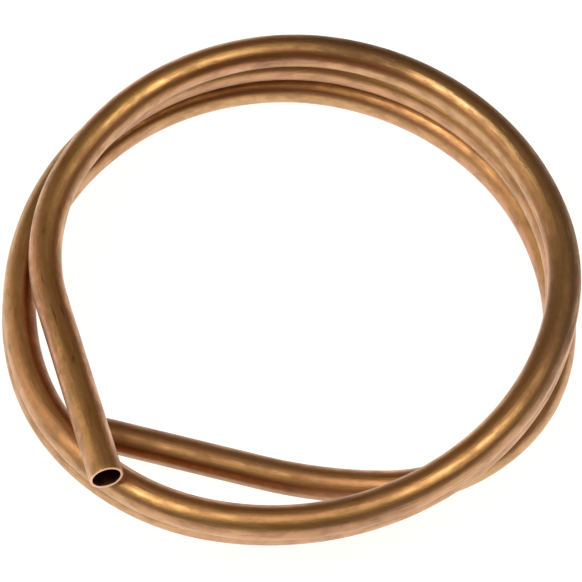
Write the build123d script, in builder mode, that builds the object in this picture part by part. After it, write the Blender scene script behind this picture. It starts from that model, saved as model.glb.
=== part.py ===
from build123d import *
import math
import os

# Immersion coil: one length of soft copper tube wound into three loose turns.
# Both ends are cut square and left bare.
# Millimetres, +Z up, the coil lying flat on Z = 0 with its middle on the Z axis.
# The tube is followed from its upper end, clockwise and downwards, to its lower end inside the coil.

# Half-inch soft copper tube
TUBE_DIAMETER = 12.7
WALL_THICKNESS = 0.89
OUTER_RADIUS = TUBE_DIAMETER / 2
BORE_RADIUS = OUTER_RADIUS - WALL_THICKNESS
RIM_CHAMFER = 0.2

# The coil's outline: from the Z axis to the tube's centre line, averaged over the turns
OUTLINE_STEP = 45
OUTLINE_RADII = {
    "right": 107.8,
    "front_right": 103.5,
    "front": 104.5,
    "front_left": 109.0,
    "left": 107.0,
    "back_left": 107.0,
    "back": 106.0,
    "back_right": 104.7,
}

# How far each turn stands outside the outline, at the left, back, right and front
TOP_SPREAD = (-11.3, -1.5, 0.4, 2.0)
MIDDLE_SPREAD = (-1.5, 1.0, 1.0, -2.4)
BOTTOM_SPREAD = (0.5, -0.5, 0.0)

# How high each turn's centre line is there: the turns sag onto each other and onto the lower end
TOP_HEIGHT = (30.0, 34.0, 34.0, 30.0)
MIDDLE_HEIGHT = (20.5, 21.0, 20.5, 17.0)
BOTTOM_HEIGHT = (7.3, 7.0, 6.4)

# The turns' corners, in degrees of winding: 0 is the right, 90 the back
FIRST_CORNER_ANGLE = 150
LAST_CORNER_ANGLE = -720
CORNER_STEP = 30
STATION_START = 180
STATION_STEP = 90

# The last corners of the top and middle turns
LAST_CORNERS = (-120, -480)

# The unwound ends
UPPER_TIP = (-65.0, -90.3, 40.1)
UPPER_BEND = (-95.0, 7.0, 31.0)
LOWER_BENDS = [(96.9, -48.4, OUTER_RADIUS), (58.5, -78.0, OUTER_RADIUS), (12.0, -77.6, OUTER_RADIUS)]
LOWER_TIP = (-70.0, -55.5, OUTER_RADIUS)

# A bend's share of the shorter run beside it
BEND_SHARE = 0.45

# How far before its first bend a straight end meets the turn
JOIN_MARGIN = 1.0


def smooth_value(values, place, closed):
    """The value at a place between whole-numbered values, on a curve that passes through them all."""
    last = len(values) - 1
    index = math.floor(place) if closed else min(math.floor(place), last - 1)
    part = place - index
    if closed:
        before, start, end, after = (values[(index + step) % len(values)] for step in (-1, 0, 1, 2))
    else:
        start, end = values[index], values[index + 1]
        before = values[index - 1] if index > 0 else 2 * start - end
        after = values[index + 2] if index + 2 <= last else 2 * end - start
    slope_in, slope_out = (end - before) / 2, (after - start) / 2
    rise = end - start
    return (
        start
        + slope_in * part
        + (3 * rise - 2 * slope_in - slope_out) * part**2
        + (slope_in + slope_out - 2 * rise) * part**3
    )


def turn_corner(angle):
    """The corner of the tube's route at a winding angle on the turns."""
    station = (STATION_START - angle) / STATION_STEP
    outline = smooth_value(list(OUTLINE_RADII.values()), -angle / OUTLINE_STEP, closed=True)
    spread = smooth_value(TOP_SPREAD + MIDDLE_SPREAD + BOTTOM_SPREAD, station, closed=False)
    height = smooth_value(TOP_HEIGHT + MIDDLE_HEIGHT + BOTTOM_HEIGHT, station, closed=False)
    radius = outline + spread
    return Vector(radius * math.cos(math.radians(angle)), radius * math.sin(math.radians(angle)), height)


def bend_radius(before, corner, after):
    """The radius of the bend at a corner, as large as the runs beside it allow."""
    run_in, run_out = corner - before, after - corner
    half_turn = math.radians(run_in.get_angle(run_out) / 2)
    return BEND_SHARE * min(run_in.length, run_out.length) / math.tan(half_turn)


def straight_join(tip, bend, beyond):
    """Where a straight end meets its turn, just short of the first bend."""
    run = bend - tip
    bend_reach = BEND_SHARE * min(run.length, (beyond - bend).length)
    return bend - run.normalized() * (bend_reach + JOIN_MARGIN)


def finish_stretch(stretch, name, length):
    """Label a stretch, and compare its volume with the tube's section times its length."""
    stretch.part.label = name
    section = math.pi * (OUTER_RADIUS**2 - BORE_RADIUS**2)
    print(name, "length", round(length, 1), "volume / section", round(stretch.part.volume / section, 1))
    return stretch.part


def make_end(name, tip, join):
    """A straight end of the tube, cut square at its tip with the rim's edges broken."""
    run = join - tip
    with BuildPart() as end:
        with BuildSketch(Plane(origin=tip, z_dir=run)):
            Circle(OUTER_RADIUS)
            Circle(BORE_RADIUS, mode=Mode.SUBTRACT)
        extrude(amount=run.length)
        rim = end.faces().filter_by(GeomType.PLANE).sort_by_distance(tip)[0]
        chamfer(rim.edges(), RIM_CHAMFER)
    return finish_stretch(end, name, run.length)


def make_turn(name, points, radii):
    """A turn of the tube along straight runs joined by bends."""
    with BuildPart() as turn:
        with BuildLine() as path:
            FilletPolyline(*points, radius=radii)
        with BuildSketch(Plane(origin=path.line @ 0, z_dir=path.line % 0)):
            Circle(OUTER_RADIUS)
            Circle(BORE_RADIUS, mode=Mode.SUBTRACT)
        sweep()
    return finish_stretch(turn, name, sum(edge.length for edge in path.edges()))


# The corners of the route from tip to tip, and the radius of the bend at each corner between
turn_angles = list(range(FIRST_CORNER_ANGLE, LAST_CORNER_ANGLE - 1, -CORNER_STEP))
corners = [Vector(*UPPER_TIP), Vector(*UPPER_BEND)]
corners += [turn_corner(angle) for angle in turn_angles]
corners += [Vector(*point) for point in LOWER_BENDS] + [Vector(*LOWER_TIP)]
radii = [bend_radius(*corners[index - 1 : index + 2]) for index in range(1, len(corners) - 1)]
print("bend radii", [round(radius) for radius in radii])

# The stretches meet face to face: short of each end's first bend, and half way along two runs
# at the front left
upper_join = straight_join(*corners[:3])
lower_join = straight_join(*corners[:-4:-1])
top_last, middle_last = (2 + turn_angles.index(angle) for angle in LAST_CORNERS)
middle_join = (corners[top_last] + corners[top_last + 1]) / 2
bottom_join = (corners[middle_last] + corners[middle_last + 1]) / 2
top_points = [upper_join, *corners[1 : top_last + 1], middle_join]
middle_points = [middle_join, *corners[top_last + 1 : middle_last + 1], bottom_join]
bottom_points = [bottom_join, *corners[middle_last + 1 : -1], lower_join]

stretches = [
    make_end("upper_end", corners[0], upper_join),
    make_turn("top_turn", top_points, radii[:top_last]),
    make_turn("middle_turn", middle_points, radii[top_last:middle_last]),
    make_turn("bottom_turn", bottom_points, radii[middle_last:]),
    make_end("lower_end", corners[-1], lower_join),
]

os.makedirs("parts", exist_ok=True)
for stretch in stretches:
    export_step(stretch, f"parts/{stretch.label}.step")
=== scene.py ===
import math
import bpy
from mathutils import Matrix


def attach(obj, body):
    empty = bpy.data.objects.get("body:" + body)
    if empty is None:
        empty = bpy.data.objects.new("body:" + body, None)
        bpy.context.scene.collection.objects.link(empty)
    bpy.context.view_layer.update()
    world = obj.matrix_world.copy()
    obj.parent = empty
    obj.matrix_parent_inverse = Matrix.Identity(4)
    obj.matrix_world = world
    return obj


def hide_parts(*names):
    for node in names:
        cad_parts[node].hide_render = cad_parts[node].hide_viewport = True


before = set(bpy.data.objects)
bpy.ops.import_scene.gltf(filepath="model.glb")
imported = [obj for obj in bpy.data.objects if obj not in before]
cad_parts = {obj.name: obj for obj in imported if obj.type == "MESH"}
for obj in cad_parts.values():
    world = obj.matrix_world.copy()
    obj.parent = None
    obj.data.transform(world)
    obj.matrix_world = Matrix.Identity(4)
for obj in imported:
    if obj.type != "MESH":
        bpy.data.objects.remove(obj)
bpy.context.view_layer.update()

from types import SimpleNamespace

import bpy
import numpy as np
from mathutils import Vector

# ---------------------------------------------------------------------------------------
# The tube's route, from the same corners as the CAD model's and in millimetres like them.
# route_points turns it into metres, for Blender.
# ---------------------------------------------------------------------------------------

MM = 0.001
OUTER_RADIUS = 6.35
BORE_RADIUS = OUTER_RADIUS - 0.89

# From the Z axis to the tube's centre line every 45 degrees of winding, averaged over the turns
OUTLINE_STEP = 45
OUTLINE_RADII = (107.8, 103.5, 104.5, 109.0, 107.0, 107.0, 106.0, 104.7)

# How far each turn stands outside that, and how high it lies, at the left, back, right and front
SPREAD = (-11.3, -1.5, 0.4, 2.0, -1.5, 1.0, 1.0, -2.4, 0.5, -0.5, 0.0)
HEIGHT = (30.0, 34.0, 34.0, 30.0, 20.5, 21.0, 20.5, 17.0, 7.3, 7.0, 6.4)
STATION_START = 180
STATION_STEP = 90
FIRST_CORNER_ANGLE = 150
LAST_CORNER_ANGLE = -720
CORNER_STEP = 30

UPPER_TIP = (-65.0, -90.3, 40.1)
UPPER_BEND = (-95.0, 7.0, 31.0)
LOWER_BENDS = [(96.9, -48.4, OUTER_RADIUS), (58.5, -78.0, OUTER_RADIUS), (12.0, -77.6, OUTER_RADIUS)]
LOWER_TIP = (-70.0, -55.5, OUTER_RADIUS)

# How finely the curve is drawn, and within how many metres two points count as one
POINTS_PER_CORNER = 24
SAME_POINT = 1e-7

# How many metres ahead and behind a place on the tube its direction is read
DIRECTION_REACH = 0.002


def smooth_value(values, place, closed):
    """The value at a place between whole-numbered values, on a curve that passes through them all."""
    last = len(values) - 1
    index = math.floor(place) if closed else min(math.floor(place), last - 1)
    part = place - index
    if closed:
        before, start, end, after = (values[(index + step) % len(values)] for step in (-1, 0, 1, 2))
    else:
        start, end = values[index], values[index + 1]
        before = values[index - 1] if index > 0 else 2 * start - end
        after = values[index + 2] if index + 2 <= last else 2 * end - start
    slope_in, slope_out = (end - before) / 2, (after - start) / 2
    rise = end - start
    return (
        start
        + slope_in * part
        + (3 * rise - 2 * slope_in - slope_out) * part**2
        + (slope_in + slope_out - 2 * rise) * part**3
    )


def turn_corner(angle):
    """The corner of the tube's route at a winding angle on the turns."""
    station = (STATION_START - angle) / STATION_STEP
    radius = smooth_value(OUTLINE_RADII, -angle / OUTLINE_STEP, closed=True)
    radius += smooth_value(SPREAD, station, closed=False)
    height = smooth_value(HEIGHT, station, closed=False)
    turned = math.radians(angle)
    return Vector((radius * math.cos(turned), radius * math.sin(turned), height))


def straight_point(tip, bend, beyond):
    """A point on a straight end that keeps the curve straight as far as the CAD model's bend."""
    return bend + (tip - bend).normalized() * (beyond - bend).length


def route_points():
    """The control points from the upper tip to the lower tip, in metres."""
    angles = range(FIRST_CORNER_ANGLE, LAST_CORNER_ANGLE - 1, -CORNER_STEP)
    corners = [Vector(UPPER_TIP), Vector(UPPER_BEND)]
    corners += [turn_corner(angle) for angle in angles]
    corners += [Vector(point) for point in LOWER_BENDS] + [Vector(LOWER_TIP)]
    corners.insert(1, straight_point(*corners[:3]))
    corners.insert(-1, straight_point(*corners[:-4:-1]))
    return [corner * MM for corner in corners]


def smooth_line(points):
    """The points along a quadratic NURBS curve that has these control points."""
    curve = bpy.data.curves.new("route", "CURVE")
    curve.dimensions = "3D"
    spline = curve.splines.new("NURBS")
    spline.points.add(len(points) - 1)
    for control, point in zip(spline.points, points):
        control.co = (*point, 1.0)
    spline.order_u = 3
    spline.use_endpoint_u = True
    spline.resolution_u = POINTS_PER_CORNER
    holder = bpy.data.objects.new("route", curve)
    bpy.context.scene.collection.objects.link(holder)
    mesh = bpy.data.meshes.new_from_object(holder)
    line = np.array([tuple(vertex.co) for vertex in mesh.vertices])
    bpy.data.objects.remove(holder)
    bpy.data.curves.remove(curve)
    bpy.data.meshes.remove(mesh)
    return line


class Line:
    """A centre line that can be read at any distance from its start."""

    def __init__(self, points):
        steps = np.linalg.norm(np.diff(points, axis=0), axis=1)
        kept = np.concatenate([[True], steps > SAME_POINT])
        self.points = points[kept]
        steps = np.linalg.norm(np.diff(self.points, axis=0), axis=1)
        self.along = np.concatenate([[0.0], np.cumsum(steps)])
        self.length = float(self.along[-1])

    def at(self, distances):
        """The places at these distances."""
        return np.stack([np.interp(distances, self.along, column) for column in self.points.T], axis=1)

    def frames(self, distances):
        """The places at these distances, and the ways across: outwards from the coil's middle, and up."""
        ahead = self.at(np.minimum(distances + DIRECTION_REACH, self.length))
        behind = self.at(np.maximum(distances - DIRECTION_REACH, 0.0))
        direction = ahead - behind
        direction /= np.linalg.norm(direction, axis=1)[:, None]
        outwards = np.cross([0.0, 0.0, 1.0], direction)
        outwards /= np.linalg.norm(outwards, axis=1)[:, None]
        up = np.cross(direction, outwards)
        return self.at(distances), outwards, up


# ---------------------------------------------------------------------------------------
# The tube's mesh: one closed skin, over the outside, round each cut rim and through the bore
# ---------------------------------------------------------------------------------------

AROUND = 64
STEP_ALONG = 0.0026

# A bent tube is a little flatter across the bend than it is high
OVALITY = 0.006

# A cut rim: how round its edges are, how far the cutter rolls the wall in at the outside and
# raises a burr at the bore, and how much of the tube's end this takes
RIM_ROUND = 0.00018
ROLLED_IN = 0.00010
INNER_BURR = 0.00022
ROLLED_REACH = 0.0016
ROUND_STEPS = 3

# The rings between the straight wall and the rim: (share of the reach, share of the drop)
OUTER_TAPER = (0.55, 0.3)
BORE_TAPER = (0.6, 0.2)

# Rings that keep the rim's rounded edges crisp, in roundings from the cut
OUTER_HOLD = 1.6
BORE_HOLD = 1.8

# What each ring of the skin is: the finish follows it
BORE_SKIN, OUTER_SKIN, CUT_RIM = 0.0, 1.0, 2.0


def rim_profile(outer, bore):
    """(depth from the cut, radius, kind of skin) round one cut rim, from the outer wall to the bore."""
    edge = outer - ROLLED_IN
    lip = bore - INNER_BURR
    turns = [math.radians(90 * step / ROUND_STEPS) for step in range(ROUND_STEPS + 1)]
    falling = [RIM_ROUND * (1 - math.sin(turn)) for turn in turns]
    rising = [RIM_ROUND * (1 - math.cos(turn)) for turn in turns]
    profile = [
        (ROLLED_REACH, outer, OUTER_SKIN),
        (ROLLED_REACH * OUTER_TAPER[0], outer - ROLLED_IN * OUTER_TAPER[1], OUTER_SKIN),
        (RIM_ROUND * OUTER_HOLD, edge, OUTER_SKIN),
    ]
    profile += [(depth, edge - inset, CUT_RIM) for depth, inset in zip(falling, rising)]
    profile += [(depth, lip + inset, CUT_RIM) for depth, inset in zip(rising, falling)]
    profile += [
        (RIM_ROUND * BORE_HOLD, lip, OUTER_SKIN),
        (ROLLED_REACH * BORE_TAPER[0], bore - INNER_BURR * BORE_TAPER[1], OUTER_SKIN),
        (ROLLED_REACH, bore, BORE_SKIN),
    ]
    return profile


def skin_stations(length, outer, bore):
    """(distance along, radius, kind of skin) for each ring, in order round the wall."""
    rim = rim_profile(outer, bore)
    count = round((length - 2 * ROLLED_REACH) / STEP_ALONG)
    run = np.linspace(ROLLED_REACH, length - ROLLED_REACH, count + 1)[1:-1]
    stations = rim[::-1]
    stations += [(distance, outer, OUTER_SKIN) for distance in run]
    stations += [(length - depth, radius, kind) for depth, radius, kind in rim]
    stations += [(distance, bore, BORE_SKIN) for distance in run[::-1]]
    return stations


def closed_faces(rings):
    """Four-sided faces between neighbouring rings, the last ring joined to the first."""
    ring, side = np.meshgrid(np.arange(rings), np.arange(AROUND), indexing="ij")
    here, following = ring * AROUND, (ring + 1) % rings * AROUND
    beside = (side + 1) % AROUND
    corners = [here + side, here + beside, following + beside, following + side]
    return np.stack(corners, axis=-1).reshape(-1, 4)


def add_attribute(mesh, name, kind, field, values):
    """Store a value for each vertex."""
    attribute = mesh.attributes.new(name, kind, "POINT")
    attribute.data.foreach_set(field, values.astype(np.float32).ravel())


def make_tube(name, line, outer, bore):
    """The tube along its line, with what the finish needs stored on its vertices."""
    stations = skin_stations(line.length, outer, bore)
    distances, radii, kinds = np.array(stations).T
    places, outwards, up = line.frames(distances)
    turn = np.linspace(0, 2 * math.pi, AROUND, endpoint=False)
    across = radii[:, None] * np.cos(turn)
    upright = radii[:, None] * np.sin(turn)
    rings = (
        places[:, None]
        + (1 - OVALITY) * across[..., None] * outwards[:, None]
        + (1 + OVALITY) * upright[..., None] * up[:, None]
    )
    mesh = bpy.data.meshes.new(name)
    mesh.from_pydata(rings.reshape(-1, 3).tolist(), [], closed_faces(len(stations)).tolist())
    mesh.update()
    mesh.shade_smooth()
    # Where each point would be on the same tube laid out straight: the finish is drawn there
    laid_out = np.stack([across, upright, np.repeat(distances[:, None], AROUND, axis=1)], axis=-1)
    add_attribute(mesh, "laid_out", "FLOAT_VECTOR", "vector", laid_out)
    add_attribute(mesh, "skin", "FLOAT", "value", np.repeat(kinds, AROUND))
    piece = bpy.data.objects.new(name, mesh)
    bpy.context.scene.collection.objects.link(piece)
    return piece


# ---------------------------------------------------------------------------------------
# Shader nodes
# ---------------------------------------------------------------------------------------


class Nodes:
    """Adds shader nodes, and links or sets their inputs."""

    def __init__(self, tree):
        self.tree = tree
        tree.nodes.clear()

    def add(self, kind, inputs, **settings):
        node = self.tree.nodes.new(kind)
        for name, value in settings.items():
            setattr(node, name, value)
        for name, value in inputs.items():
            self.give(node.inputs[name], value)
        return node

    def give(self, socket, value):
        """Link a node's output to the socket, or set a plain value there."""
        if isinstance(value, bpy.types.NodeSocket):
            self.tree.links.new(value, socket)
        else:
            socket.default_value = value

    def math(self, operation, first, second=0.0, clamp=False):
        node = self.add("ShaderNodeMath", {0: first, 1: second}, operation=operation, use_clamp=clamp)
        return node.outputs[0]

    def joined(self, operation, values):
        """All the values joined by one operation, two at a time."""
        result = values[0]
        for value in values[1:]:
            result = self.math(operation, result, value)
        return result

    def total(self, *values):
        return self.joined("ADD", values)

    def product(self, *values):
        return self.joined("MULTIPLY", values)

    def largest(self, *values):
        return self.joined("MAXIMUM", values)

    def between(self, value, low, high, to_low=0.0, to_high=1.0, smooth=True):
        """From one value to another while the input goes from low to high."""
        node = self.add(
            "ShaderNodeMapRange",
            {"Value": value, "From Min": low, "From Max": high, "To Min": to_low, "To Max": to_high},
            interpolation_type="SMOOTHSTEP" if smooth else "LINEAR",
        )
        return node.outputs["Result"]

    def window(self, value, first, full, fading, last):
        """From 0 at first up to 1 at full, and from 1 at fading down to 0 at last."""
        return self.product(self.between(value, first, full), self.between(value, fading, last, 1.0, 0.0))

    def mix(self, factor, first, second):
        """A colour between two others."""
        node = self.add("ShaderNodeMix", {0: factor, 6: first, 7: second}, data_type="RGBA")
        return node.outputs[2]

    def noise(self, vector, scale, detail=2.0, roughness=0.5, stretch=(1, 1, 1), offset=(0, 0, 0)):
        mapping = self.add("ShaderNodeMapping", {"Vector": vector, "Scale": stretch, "Location": offset})
        inputs = {"Vector": mapping.outputs[0], "Scale": scale, "Detail": detail, "Roughness": roughness}
        return self.add("ShaderNodeTexNoise", inputs).outputs["Fac"]


# ---------------------------------------------------------------------------------------
# Copper. Places along the tube are in metres from its upper tip. Places round it are in
# radians: 0 faces outwards from the coil, a quarter turn faces up and a half turn inwards.
# ---------------------------------------------------------------------------------------

GOLDEN = (0.63, 0.385, 0.170, 1.0)
ROSY = (0.62, 0.325, 0.185, 1.0)
BROWN = (0.24, 0.138, 0.08, 1.0)
# Painted shade: the red-brown laid on the sheltered places, where the tube reflects shaded floor and
# copper
RED_BROWN_SHADE = (0.19, 0.055, 0.008, 1.0)
DARK_LINE = (0.30, 0.155, 0.075, 1.0)
DARK_SCRATCH = (0.17, 0.08, 0.035, 1.0)
PALE_LINE = (0.74, 0.50, 0.31, 1.0)
FRESH_CUT = (0.80, 0.53, 0.39, 1.0)
# Painted shade deep in the bore, darker than the outside
PAINTED_BORE_SHADE = (0.30, 0.12, 0.05, 1.0)

# Where the brown stretch of the top turn ends, round the tube
BROWN_EDGE = 1.84

# The drawing oil's film, how much of it is taken off where the copper has turned brown and where red-brown
# shade is painted, and its roughness
OIL_FILM = 0.38
OIL_OFF_FOR_TARNISH_AND_SHADE = 0.35
OIL_ROUGHNESS = 0.35

RELIEF_STRENGTH = 0.3
RELIEF_HEIGHT = 0.0002


def surface_patterns(n, laid_out):
    """The noises that the finish is made of, from 0 to 1."""
    return SimpleNamespace(
        # Fine lines drawn lengthwise by the die, and shorter scuffs over them
        draw_lines=n.noise(laid_out, 2200.0, 3.0, 0.6, stretch=(1, 1, 0.012)),
        broad_lines=n.noise(laid_out, 420.0, 2.0, 0.5, stretch=(1, 1, 0.02), offset=(3, 1, 0)),
        scuffs=n.noise(laid_out, 950.0, 4.0, 0.65, stretch=(1, 1, 0.09), offset=(4, 6, 1)),
        # Handling: clouds of tarnish as long as a finger, a mottle of smaller marks, and grain
        clouds=n.noise(laid_out, 30.0, 3.0, 0.6, stretch=(3, 3, 1), offset=(7, 2, 5)),
        mottle=n.noise(laid_out, 190.0, 5.0, 0.7, stretch=(1, 1, 0.55), offset=(1, 8, 3)),
        grain=n.noise(laid_out, 1500.0, 3.0, 0.6, stretch=(1, 1, 0.4), offset=(2, 2, 2)),
        # The wall isn't quite even after winding
        waves=n.noise(laid_out, 55.0, 1.0, 0.4, stretch=(1, 1, 0.6), offset=(5, 3, 9)),
        scratches=n.noise(laid_out, 520.0, 2.0, 0.6, stretch=(1, 1, 0.16), offset=(6, 4, 8)),
    )


def top_turn_marks(n, along, round_it, mottle):
    """The brown stretch on the top turn's upper outer side, and the strip along its edge: rubbed smoother,
    and painted paler as a highlight.
    """
    place = n.total(round_it, n.between(mottle, 0.25, 0.75, -0.12, 0.12, smooth=False))
    past_edge = n.math("SUBTRACT", place, BROWN_EDGE)
    outer_side = n.between(past_edge, -0.05, 0.04, 1.0, 0.0)
    # Past the back right it goes all round
    all_round = n.between(along, 0.350, 0.415, 0.0, 0.95)
    brown = n.product(
        n.largest(outer_side, all_round),
        n.window(place, 0.0, 0.4, 2.5, 3.0),
        n.window(along, 0.225, 0.30, 0.43, 0.50),
        0.95,
    )
    # A smudge that crosses the top of the tube where the stretch begins
    smudge = n.product(n.window(along, 0.205, 0.275, 0.294, 0.306), n.window(place, 0.2, 0.6, 2.2, 2.6))
    # The strip along the brown edge, where the highlight falls: rubbed smoother, with a paler painted
    # highlight
    rubbed_and_highlight = n.product(
        n.window(past_edge, -0.02, 0.04, 0.16, 0.34),
        n.window(along, 0.296, 0.310, 0.365, 0.380),
    )
    return n.largest(brown, smudge), rubbed_and_highlight


def all_tarnish(n, along, round_it, top_turn, patterns):
    """How brown the copper is, from 0 to 1: in clouds everywhere, and at certain places on the turns."""
    clouds = n.between(patterns.clouds, 0.52, 0.74, 0.0, 0.6)
    near_tip = n.product(n.between(along, 0.03, 0.28, 0.38, 0.12), n.between(patterns.mottle, 0.35, 0.6))
    left = n.product(
        n.window(along, 0.74, 0.80, 0.86, 0.92),
        n.between(round_it, 0.7, 1.3, 1.0, 0.35),
        0.45,
    )
    front = n.product(n.window(along, 0.51, 0.535, 0.55, 0.58), 0.4)
    lower_end = n.between(along, 1.81, 1.86, 0.0, 0.6)
    tarnish = n.largest(top_turn, clouds, near_tip, left, front, lower_end)
    return n.product(tarnish, n.between(patterns.mottle, 0.3, 0.6, 0.75, 1.0))


def painted_red_shade(n, along, round_it, mottle):
    """Where red-brown shade is painted on the copper, from 0 to 1: painted shade and darker painted
    reflections in the sheltered places.
    """
    # On the lower end's outer side, where it faces the turns: painted shade for the shaded floor it
    # reflects there
    lower_end = n.product(n.between(along, 1.79, 1.875), n.window(round_it, 0.05, 0.35, 0.70, 0.95))
    # On the inner side at the left, under the upper end
    left = n.product(
        n.window(along, 0.63, 0.67, 0.76, 0.81),
        n.window(round_it, 1.75, 2.05, 2.9, 3.1),
        0.85,
    )
    # On the inner side of the top turn at the back
    back = n.product(
        n.window(along, 0.16, 0.22, 0.28, 0.33),
        n.window(round_it, 2.10, 2.35, 2.70, 2.95),
        0.55,
    )
    # On top of the bottom turn from the left to the back, under the others: painted shade where they shade
    # it
    beneath = n.product(
        n.window(along, 1.40, 1.46, 1.50, 1.62),
        n.window(round_it, 1.0, 1.4, 2.35, 2.6),
        0.75,
    )
    return n.product(n.largest(lower_end, left, back, beneath), n.between(mottle, 0.3, 0.6, 0.85, 1.0))


def dark_scratches(n, along, round_it, pattern):
    """Two clusters of scratches on top of the upper end and of the bend that follows it."""
    clusters = n.largest(
        n.window(along, 0.046, 0.052, 0.070, 0.078),
        n.window(along, 0.084, 0.090, 0.104, 0.112),
    )
    return n.product(n.between(pattern, 0.55, 0.64), clusters, n.window(round_it, 0.9, 1.3, 1.9, 2.4))


def copper_material():
    """Satin copper, brown where it has been handled, with red-brown shade painted where it is sheltered.
    """
    material = bpy.data.materials.new("satin_copper")
    material.use_nodes = True
    n = Nodes(material.node_tree)
    laid_out = n.add("ShaderNodeAttribute", {}, attribute_name="laid_out").outputs["Vector"]
    skin = n.add("ShaderNodeAttribute", {}, attribute_name="skin").outputs["Fac"]
    apart = n.add("ShaderNodeSeparateXYZ", {"Vector": laid_out})
    along = apart.outputs["Z"]
    round_it = n.math("ARCTAN2", apart.outputs["Y"], apart.outputs["X"])

    patterns = surface_patterns(n, laid_out)
    top_turn, rubbed_and_highlight = top_turn_marks(n, along, round_it, patterns.mottle)
    tarnish = all_tarnish(n, along, round_it, top_turn, patterns)
    # Red-brown painted shade in the sheltered places
    painted_red_shade_mask = painted_red_shade(n, along, round_it, patterns.mottle)
    scratches = dark_scratches(n, along, round_it, patterns.scratches)

    colour = n.mix(n.between(patterns.broad_lines, 0.35, 0.65), GOLDEN, ROSY)
    layers = [
        (n.between(patterns.mottle, 0.42, 0.72, 0.0, 0.4), DARK_LINE),
        (tarnish, BROWN),
        (n.between(patterns.scuffs, 0.56, 0.74, 0.0, 0.5), DARK_LINE),
        (n.between(patterns.scuffs, 0.42, 0.26, 0.0, 0.5), PALE_LINE),
        (n.between(patterns.draw_lines, 0.55, 0.8, 0.0, 0.3), DARK_LINE),
        # Painted shade, red-brown, in the sheltered places
        (painted_red_shade_mask, RED_BROWN_SHADE),
        (n.product(scratches, 0.85), DARK_SCRATCH),
        # Painted highlight in the pale colour along the brown edge of the top turn, on rubbed metal
        (n.product(rubbed_and_highlight, 0.8), PALE_LINE),
        (n.between(skin, OUTER_SKIN, CUT_RIM), FRESH_CUT),
        # Painted shade deep in the bore; the lip at the mouth keeps the outer colour
        (n.between(skin, BORE_SKIN, 0.6, 1.0, 0.0), PAINTED_BORE_SHADE),
    ]
    for amount, layer in layers:
        colour = n.mix(amount, colour, layer)

    roughness = n.total(
        n.between(patterns.mottle, 0.3, 0.75, 0.33, 0.47),
        n.between(patterns.scuffs, 0.3, 0.7, -0.04, 0.06),
        n.product(tarnish, 0.16),
        n.product(rubbed_and_highlight, -0.08),
    )
    # The coat is thinned where the copper is brown and where red-brown shade is painted
    oil_off_for_tarnish_and_shade = n.product(n.largest(tarnish, painted_red_shade_mask), OIL_OFF_FOR_TARNISH_AND_SHADE)
    relief = n.total(
        patterns.draw_lines,
        n.product(patterns.broad_lines, 0.8),
        n.product(patterns.grain, 0.9),
        patterns.scuffs,
        n.product(patterns.mottle, 1.6),
        n.product(patterns.waves, 6.0),
    )
    bump_inputs = {"Height": relief, "Strength": RELIEF_STRENGTH, "Distance": RELIEF_HEIGHT}
    shader = n.add(
        "ShaderNodeBsdfPrincipled",
        {
            "Base Color": colour,
            "Metallic": 1.0,
            "Roughness": roughness,
            "Coat Weight": n.math("SUBTRACT", OIL_FILM, oil_off_for_tarnish_and_shade, clamp=True),
            "Coat Roughness": OIL_ROUGHNESS,
            "Normal": n.add("ShaderNodeBump", bump_inputs).outputs[0],
        },
    )
    n.add("ShaderNodeOutputMaterial", {"Surface": shader.outputs[0]})
    return material


# ---------------------------------------------------------------------------------------
# Floor, light and camera
# ---------------------------------------------------------------------------------------

FLOOR_REACH = 3.0

# The lights: name, place, size, power and colour
LIGHT_TARGET = Vector((0.0, 0.0, 0.02))
LIGHTS = [
    ("softbox_left", (-0.52, -0.20, 0.95), (0.50, 0.56), 3.5, (1.0, 0.92, 0.66)),
    ("softbox_right", (0.34, -0.08, 1.0), (0.44, 0.52), 3.5, (1.0, 0.92, 0.66)),
    ("fill_left", (-1.3, 0.1, 0.60), (1.4, 1.0), 3.4, (1.0, 0.88, 0.66)),
]

CAMERA_ELEVATION = 60.0
CAMERA_DISTANCE = 1.0
CAMERA_TARGET = Vector((0.0, 0.0, 0.015))
SENSOR_MM = 36.0
LENS_MM = 161.25

# As shares of the picture's width
CAMERA_SHIFT = (0.00473, 0.00595)


def aim(holder, place, target):
    """Put a light or a camera at a place, facing a target."""
    holder.location = place
    holder.rotation_euler = (target - Vector(place)).to_track_quat("-Z", "Y").to_euler()
    bpy.context.scene.collection.objects.link(holder)


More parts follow.
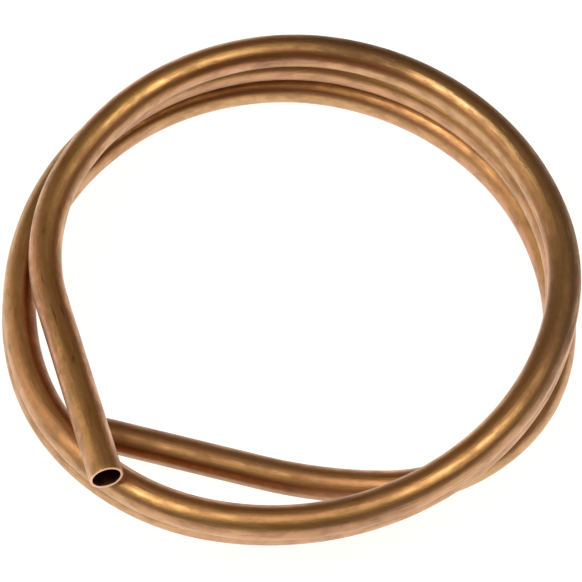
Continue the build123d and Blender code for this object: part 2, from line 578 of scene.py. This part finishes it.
def make_floor():
    """A white floor that lights the coil from below and takes its contact shadow."""
    mesh = bpy.data.meshes.new("floor")
    corners = [(x * FLOOR_REACH, y * FLOOR_REACH, 0) for x, y in ((-1, -1), (1, -1), (1, 1), (-1, 1))]
    mesh.from_pydata(corners, [], [(0, 1, 2, 3)])
    floor = bpy.data.objects.new("floor", mesh)
    bpy.context.scene.collection.objects.link(floor)
    material = bpy.data.materials.new("white_floor")
    material.use_nodes = True
    n = Nodes(material.node_tree)
    shader = n.add(
        "ShaderNodeBsdfPrincipled",
        {
            "Base Color": (0.22, 0.22, 0.22, 1.0),
            "Roughness": 0.9,
            "Specular IOR Level": 0.0,
            "Emission Color": (1.0, 0.97, 0.94, 1.0),
            "Emission Strength": 1.0,
        },
    )
    n.add("ShaderNodeOutputMaterial", {"Surface": shader.outputs[0]})
    mesh.materials.append(material)


def area_light(name, place, size, power, colour):
    light = bpy.data.lights.new(name, "AREA")
    light.color = colour
    light.shape = "RECTANGLE"
    light.size, light.size_y = size
    light.energy = power
    aim(bpy.data.objects.new(name, light), place, LIGHT_TARGET)


def set_light():
    for name, place, size, power, colour in LIGHTS:
        area_light(name, place, size, power, colour)
    world = bpy.data.worlds.new("studio")
    world.use_nodes = True
    n = Nodes(world.node_tree)
    background = n.add("ShaderNodeBackground", {"Color": (1.0, 0.58, 0.22, 1.0), "Strength": 0.14})
    n.add("ShaderNodeOutputWorld", {"Surface": background.outputs[0]})
    bpy.context.scene.world = world


def set_camera():
    data = bpy.data.cameras.new("camera")
    data.sensor_width = SENSOR_MM
    data.lens = LENS_MM
    data.shift_x, data.shift_y = CAMERA_SHIFT
    data.clip_start = 0.05
    camera = bpy.data.objects.new("camera", data)
    rise = math.radians(CAMERA_ELEVATION)
    place = CAMERA_TARGET + CAMERA_DISTANCE * Vector((0.0, -math.cos(rise), math.sin(rise)))
    aim(camera, place, CAMERA_TARGET)
    bpy.context.scene.camera = camera


line = Line(smooth_line(route_points()))
tube = make_tube("copper_tube", line, OUTER_RADIUS * MM, BORE_RADIUS * MM)
tube.data.materials.append(copper_material())
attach(tube, "root")
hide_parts("upper_end", "top_turn", "middle_turn", "bottom_turn", "lower_end")

make_floor()
set_light()
set_camera()
bpy.context.scene.view_settings.view_transform = "Standard"
